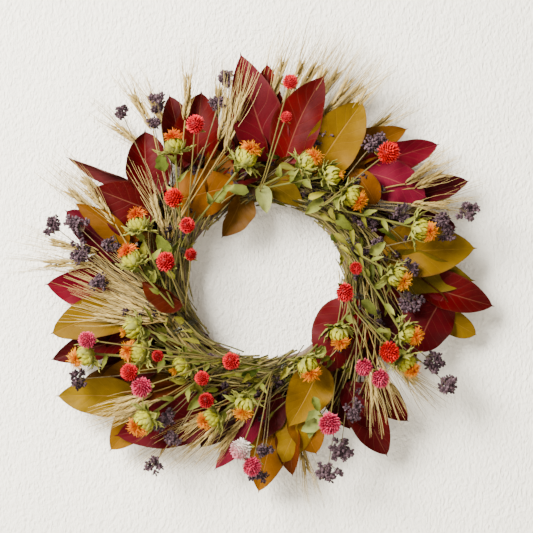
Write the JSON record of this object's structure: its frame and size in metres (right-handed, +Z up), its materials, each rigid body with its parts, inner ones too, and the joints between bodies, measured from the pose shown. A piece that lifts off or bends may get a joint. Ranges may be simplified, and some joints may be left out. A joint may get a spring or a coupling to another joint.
{
  "type": "harvest door wreath",
  "caption": "Door wreath of dried leaves, wheat, oregano, safflowers and globe amaranths wired to a twisted grapevine ring, with a swinging wire hanging loop.",
  "frame": {"origin": "where the nail carries the hanging loop: inside the top of the eye, on the wall plane", "axes": "+X to the right of someone who faces the wreath, +Y into the wall it hangs on, +Z up"},
  "size_m": [0.484, 0.095, 0.4665],
  "materials": {
    "grapevine_bark": "rough brown bark",
    "paddle_wire": "dark green-black lacquered florist's wire",
    "preserved_leaf": "glycerine-preserved leaf, crimson to mustard, slight sheen",
    "wheat_straw": "dry satin straw",
    "oregano_flower": "matt dusty purple-brown buds",
    "safflower_flower": "matt orange florets over pale green bracts",
    "amaranth_flower": "papery red and pink bracts"
  },
  "bodies": {
    "wreath": {"vine_cane_1": "grapevine_bark", "vine_cane_2": "grapevine_bark", "vine_cane_3": "grapevine_bark", "vine_cane_4": "grapevine_bark", "vine_cane_5": "grapevine_bark", "vine_wrap_1": "grapevine_bark", "vine_wrap_2": "grapevine_bark", "bouquet_1_binding": "paddle_wire", "bouquet_2_binding": "paddle_wire", "bouquet_3_binding": "paddle_wire", "bouquet_4_binding": "paddle_wire", "bouquet_5_binding": "paddle_wire", "bouquet_6_binding": "paddle_wire", "bouquet_7_binding": "paddle_wire", "bouquet_8_binding": "paddle_wire", "bouquet_1_leaves": "preserved_leaf", "bouquet_2_leaves": "preserved_leaf", "bouquet_3_leaves": "preserved_leaf", "bouquet_4_leaves": "preserved_leaf", "bouquet_5_leaves": "preserved_leaf", "bouquet_6_leaves": "preserved_leaf", "bouquet_7_leaves": "preserved_leaf", "bouquet_8_leaves": "preserved_leaf", "rust_front_leaf": "preserved_leaf", "crimson_front_leaf": "preserved_leaf", "mustard_front_leaf": "preserved_leaf", "orange_front_leaf": "preserved_leaf", "olive_front_leaf": "preserved_leaf", "bouquet_1_wheat": "wheat_straw", "bouquet_3_wheat": "wheat_straw", "bouquet_4_wheat": "wheat_straw", "bouquet_5_wheat": "wheat_straw", "bouquet_6_wheat": "wheat_straw", "bouquet_7_wheat": "wheat_straw", "bouquet_8_wheat": "wheat_straw", "bouquet_1_oregano": "oregano_flower", "bouquet_2_oregano": "oregano_flower", "bouquet_3_oregano": "oregano_flower", "bouquet_4_oregano": "oregano_flower", "bouquet_5_oregano": "oregano_flower", "bouquet_6_oregano": "oregano_flower", "bouquet_7_oregano": "oregano_flower", "bouquet_8_oregano": "oregano_flower", "bouquet_1_safflowers": "safflower_flower", "bouquet_2_safflowers": "safflower_flower", "bouquet_3_safflowers": "safflower_flower", "bouquet_4_safflowers": "safflower_flower", "bouquet_5_safflowers": "safflower_flower", "bouquet_6_safflowers": "safflower_flower", "bouquet_7_safflowers": "safflower_flower", "bouquet_8_safflowers": "safflower_flower", "bouquet_1_amaranths": "amaranth_flower", "bouquet_2_amaranths": "amaranth_flower", "bouquet_3_amaranths": "amaranth_flower", "bouquet_4_amaranths": "amaranth_flower", "bouquet_5_amaranths": "amaranth_flower", "bouquet_6_amaranths": "amaranth_flower", "bouquet_7_amaranths": "amaranth_flower", "bouquet_8_amaranths": "amaranth_flower"},
    "hanger": {"hanging_loop": "paddle_wire"}
  },
  "joints": [
    {"name": "hanger_swing", "type": "hinge", "parent": "wreath", "child": "hanger", "pos_m": [0, -0.01906, -0.04227], "axis": [-1, 0, 0], "range_deg": [0, 80]}
  ]
}
